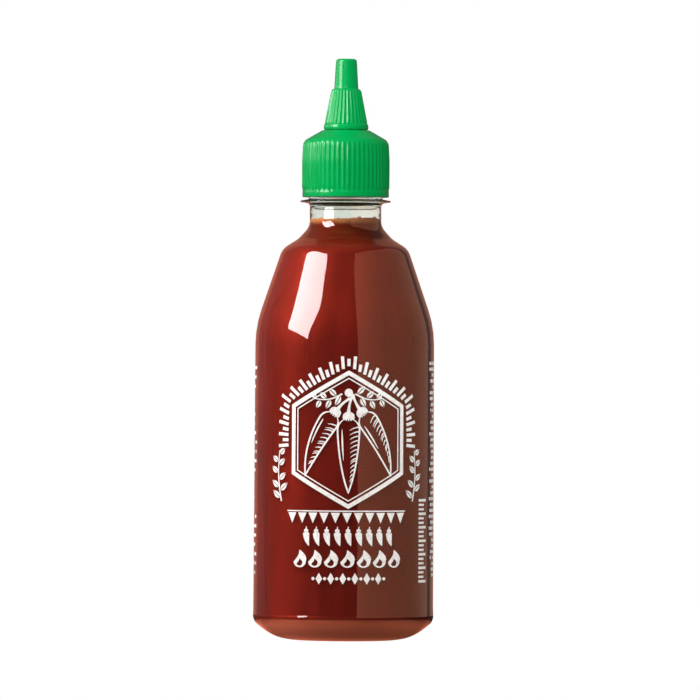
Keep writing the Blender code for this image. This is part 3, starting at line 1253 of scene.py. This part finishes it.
# Each row: height, first place, pitch and count.
motifRows = {
    "bunting": (45.2, -19.8, 4.2, 11),
    "string": (47.7, -22.0, 1.16, 41),
    "pods": (40.2, -14.0, 3.9, 9),
    "flames": (27.3, -16.6, 6.0, 7),
    "diamonds": (23.2, -9.0, 4.4, 6),
    "dots": (23.2, -11.2, 4.4, 7),
    "flag": ((-1.7, 1.9), (1.7, 1.9), (0.0, -1.9)),
    "diamond": ((-1.25, 0.0), (0.0, 2.1), (1.25, 0.0), (0.0, -2.1)),
    "dotRadius": 0.6,
}


def flameOutline():
    outline = []
    for k in range(24):
        a = 2 * math.pi * k / 24
        up = max(math.sin(a), 0.0)
        tall = 4.4 if math.sin(a) > 0 else 2.0
        sway = 0.9 * math.sin(math.pi * up)
        pinch = 1 - 0.72 * up**1.3
        outline.append((2.5 * math.cos(a) * pinch + sway, tall * math.sin(a) + 1.9))
    return outline + outline[:1]


def makeMotifRows():
    r = motifRows

    def inRow(label, motif):
        height, first, pitch, count = r[label]
        return rowOf(label, motif, count, (first, height), (pitch, 0.0))

    parts = [inRow("bunting", shapeMotif(r["flag"], (0.0, 0.6)))]
    bm = bmesh.new()
    height, first, pitch, count = r["string"]
    addRibbon(bm, [(first + pitch * k, height) for k in range(count)], 0.42)
    parts.append(flatMesh("string", bm))
    bm = bmesh.new()
    addPod(bm, (0.0, 0.0), 0.0, 5.2, 2.5, 0.22)
    addCalyx(bm, (0.0, 0.35), 0.0, 1.7, 0.8)
    parts.append(inRow("pods", flatMesh("smallPod", bm)))
    bm = bmesh.new()
    outer = flameOutline()
    addStrip(bm, outer, [(x * 0.46 - 0.1, 0.5 + y * 0.42) for x, y in outer])
    parts.append(inRow("flames", flatMesh("flame", bm)))
    parts.append(inRow("diamonds", shapeMotif(r["diamond"])))
    parts.append(inRow("dots", shapeMotif(roundOutline(r["dotRadius"]))))
    return parts


sidePrint = {
    "tick": (3.6, 0.8),
    "ticksAt": 32.2,
    "ticksFrom": 22.0,
    "ticksTo": 51.5,
    "ticks": 19,
    "blockHeight": 1.15,
    "blockGap": 0.5,
    # Corner, row length, rows, row pitch, share left out, narrowest, widest, seed.
    "rightRows": ((40.6, 102.0), 38.0, 37, 2.15, 0.12, 0.7, 2.6, 11),
    "leftRows": ((-84.0, 100.0), 41.0, 23, 3.4, 0.42, 0.9, 3.4, 15),
}


def fineRows(name):
    s = sidePrint
    corner, length, rows, pitch, gapShare, narrowest, widest, seed = s[name]
    usual = (narrowest + widest) / 2 + s["blockGap"]
    blocks = round(rows * length / usual * 1.25)  # some to spare for the ends of the rows
    values = {
        "Blocks": blocks,
        "Corner": (corner[0] * mm, corner[1] * mm, 0.0),
        "Row Length": length * mm,
        "Rows": rows - 0.5,
        "Row Pitch": pitch * mm,
        "Height": 1.0,
        "Narrowest": narrowest * mm,
        "Widest": widest * mm,
        "Gap": s["blockGap"] * mm,
        "Gap Share": gapShare,
        "Seed": seed,
        "Material": inkMaterial,
    }
    # The block is a metre wide here, because the tree scales it to each width.
    bm = bmesh.new()
    line = [k / 2 / mm for k in range(3)]
    addStrip(bm, [(x, 0.0) for x in line], [(x, -s["blockHeight"]) for x in line])
    return grown(name, flatMesh("block", bm), blockRowsTree, values)


def makeSidePrint():
    s = sidePrint
    step = (s["ticksTo"] - s["ticksFrom"]) / (s["ticks"] - 1)
    ticks = rowOf(
        "ticks",
        dashMotif(*s["tick"], 3, leftAligned=True),
        s["ticks"],
        (s["ticksAt"], s["ticksFrom"]),
        (0.0, step),
        nth=3,
        nthScale=(1.45, 1.2, 1.0),
    )
    return [ticks, fineRows("rightRows"), fineRows("leftRows")]


backPrint = {
    "middle": 102.5,
    "rules": ((98.0, 1.1), (95.6, 0.4), (26.4, 0.4), (24.0, 1.1)),  # height and width of each
    "ruleLength": 32.0,
    "bar": (28.0, 1.6),
    "barsFrom": 33.0,
    "barPitch": 5.1,
    "bars": 12,
    "thirdBar": (0.62, 0.7, 1.0),
}


def makeBackPrint():
    b = backPrint
    parts = []
    for height, width in b["rules"]:
        bm = bmesh.new()
        line = [(b["middle"] + b["ruleLength"] * (k / 20 - 0.5), height) for k in range(21)]
        addRibbon(bm, line, width)
        parts.append(flatMesh("rule", bm))
    start, step = (b["middle"], b["barsFrom"]), (0.0, b["barPitch"])
    bars = dashMotif(*b["bar"], 18)
    parts.append(rowOf("bars", bars, b["bars"], start, step, nth=3, nthScale=b["thirdBar"]))
    return parts


layOnWall("emblemPrint", makeEmblem())
layOnWall("motifRowsPrint", makeMotifRows())
layOnWall("sidePrint", makeSidePrint())
layOnWall("backPrint", makeBackPrint())
print("print laid on the wall")


# Studio: a pale floor in a white surround. The wall mirrors one large lamp on the left and a
# wide red card on the right, and soft lamps light the sauce, the print and the greens.
greens = ("closureRibbed", "twistTipRibbed")
prints = ("emblemPrint", "motifRowsPrint", "sidePrint", "backPrint")
walls = ("sauceFill", "clearBottle")

studio = {
    "frame": 700,  # pixels
    "pixel": 0.0003665,  # size of a photograph pixel at the bottle, in metres
    "floorRow": 639.5,
    "axisColumn": 344.73,
    "distance": 2.8,
    "roll": 0.346,
    "floorRadius": 0.38,
    "keyAzimuth": -60.2,  # the big lamp that the wall mirrors, seen from the bottle
    "keyElevation": 27.5,
    "keyTurn": -12.5,
    "keySize": (0.61, 0.655),
    "keyRadiance": 17.0,
    "keyFade": (1.0, 0.82),
    "keyHeight": 0.12,
    "softSize": (0.3, 0.3),
    "softDistance": 0.45,
    # Azimuth, height, power, and what each soft lamp is for.
    "softs": {
        "sideSoft": (-88.0, 0.66, 11.0, walls + prints),
        "frontSoft": (-25.0, 0.58, 3.7, walls + prints),
        "inkSoft": (50.0, 0.30, 1.9, prints),
        "greenSide": (-75.0, 0.33, 2.0, greens),
        "greenFront": (-8.0, 0.40, 3.05, greens),
        "greenRight": (100.0, 0.40, 0.95, greens),
    },
    "rimAzimuth": -109.0,  # for the sheen on the greens
    "rimHeight": 0.45,
    "rimSize": (0.76, 0.46),
    "rimRadiance": 1.7,
    "cardAzimuth": 76.0,
    "cardDistance": 0.47,
    "cardHeight": 0.4,
    "cardSize": (1.57, 0.9),
    "cardRadiance": 1.7,
    "cardFade": (1.0, 0.42),
    "cardColour": (1.0, 0.40, 0.23),
    "backAzimuth": 180.0,  # a dim card behind, which warms the sides of the wall
    "backDistance": 0.6,
    "backSize": (0.84, 1.1),
    "backRadiance": 0.4,
    "backColour": (1.0, 0.27, 0.09),
    # What the wall sees of the surround, by how far back it looks: from, to, share at each.
    "mirrored": (0.0, 0.8, 0.03, 0.15),
    "through": (-0.8, -0.3, 0.35, 0.88),
}


def makeLamp(name, spot, target, size, radiance, turn=0.0, seenBy="gloss"):
    data = bpy.data.lights.new(name, "AREA")
    data.shape = "RECTANGLE"
    data.size, data.size_y = size
    data.energy = math.pi * size[0] * size[1] * radiance
    lamp = bpy.data.objects.new(name, data)
    scene.collection.objects.link(lamp)
    # A lamp shines along its own -Z.
    back = (spot - target).normalized()
    side = Vector((0.0, 0.0, 1.0)).cross(back).normalized()
    facing = Matrix((side, back.cross(side), back)).transposed().to_4x4()
    roll = Matrix.Rotation(math.radians(turn), 4, "Z")
    lamp.matrix_world = Matrix.Translation(spot) @ facing @ roll
    lamp.visible_camera = False
    lamp.visible_diffuse = seenBy == "diffuse"
    lamp.visible_glossy = seenBy == "gloss"
    lamp.visible_transmission = seenBy == "gloss"
    return lamp


def fade(lamp, axis, ends):
    # The lamp's brightness runs from one share to the other along its own X or Y.
    lamp.data.use_nodes = True
    tree = lamp.data.node_tree
    place = addNode(tree, "ShaderNodeNewGeometry").outputs["Parametric"]
    along = addNode(tree, "ShaderNodeSeparateXYZ", {0: place}).outputs[axis]
    strength = ramp(tree, along, 0.0, 1.0, *ends, smooth=False)
    tree.links.new(strength, tree.nodes["Emission"].inputs["Strength"])


def shineOn(lamp, names):
    # The lamp lights these pieces alone.
    group = bpy.data.collections.new(lamp.name + "On")
    for name in names:
        group.objects.link(bpy.data.objects[name])
    lamp.light_linking.receiver_collection = group


def around(azimuth, distance, height):
    # Azimuth 0 is the camera's side, and it grows to the camera's right.
    turn = math.radians(azimuth)
    return Vector((distance * math.sin(turn), -distance * math.cos(turn), height))


def makeCard(name, kind, height):
    # A wide coloured card that the wall mirrors and that can't be seen through it.
    s = studio
    spot = around(s[kind + "Azimuth"], s[kind + "Distance"], height)
    target = Vector((0.0, 0.0, height))
    card = makeLamp(name, spot, target, s[kind + "Size"], s[kind + "Radiance"])
    card.data.color = s[kind + "Colour"]
    card.visible_transmission = False
    shineOn(card, walls)
    return card


def makeStudio():
    s = studio
    middle = Vector((0.0, 0.0, s["keyHeight"]))
    rise = math.radians(s["keyElevation"])
    key = around(s["keyAzimuth"], math.cos(rise), middle.z + math.sin(rise))
    lamp = makeLamp("keyLamp", key, middle, s["keySize"], s["keyRadiance"], s["keyTurn"])
    fade(lamp, "X", s["keyFade"])
    size = s["softSize"]
    for name, (azimuth, height, power, pieces) in s["softs"].items():
        radiance = power / (math.pi * size[0] * size[1])
        spot = around(azimuth, s["softDistance"], height)
        shineOn(makeLamp(name, spot, middle, size, radiance, 0.0, "diffuse"), pieces)
    aim = Vector((0.0, 0.0, s["rimHeight"]))
    spot = around(s["rimAzimuth"], 1.0, s["rimHeight"])
    shineOn(makeLamp("rimLamp", spot, aim, s["rimSize"], s["rimRadiance"]), greens)
    fade(makeCard("rightCard", "card", s["cardHeight"]), "X", s["cardFade"])
    makeCard("backCard", "back", s["cardHeight"])
    bm = bmesh.new()
    bmesh.ops.create_circle(bm, cap_ends=True, segments=128, radius=s["floorRadius"])
    floor = addPiece("floor", meshFrom("floor", bm), floorWhite())

    world = bpy.data.worlds.new("surround")
    scene.world = world
    world.use_nodes = True
    tree = world.node_tree
    tree.nodes.clear()
    direction = addNode(tree, "ShaderNodeTexCoord").outputs["Generated"]
    y = splitXYZ(tree, direction)[1]
    path = addNode(tree, "ShaderNodeLightPath")
    mirrored = ramp(tree, y, *s["mirrored"])
    through = product(tree, ramp(tree, y, *s["through"]), clearRays(tree, path))
    glow = calc(tree, "MAXIMUM", mirrored, through)
    seen = calc(tree, "MAXIMUM", path.outputs["Is Camera Ray"], glow)
    white = {"Color": (1.0, 1.0, 1.0, 1.0), "Strength": seen}
    light = addNode(tree, "ShaderNodeBackground", white)
    addNode(tree, "ShaderNodeOutputWorld", {"Surface": light.outputs[0]})

    data = bpy.data.cameras.new("camera")
    data.lens = data.sensor_width * s["distance"] / (s["frame"] * s["pixel"])
    data.clip_start = 0.1
    data.clip_end = 20.0
    camera = bpy.data.objects.new("camera", data)
    scene.collection.objects.link(camera)
    half = s["frame"] / 2
    across, up = (half - s["axisColumn"]) * s["pixel"], (s["floorRow"] - half) * s["pixel"]
    spot = Vector((across, -s["distance"], up))
    level = Matrix.Rotation(math.pi / 2, 4, "X")
    roll = Matrix.Rotation(math.radians(s["roll"]), 4, "Z")
    camera.matrix_world = Matrix.Translation(spot) @ level @ roll
    scene.camera = camera
    scene.view_settings.view_transform = "Standard"


makeStudio()
print("studio made")
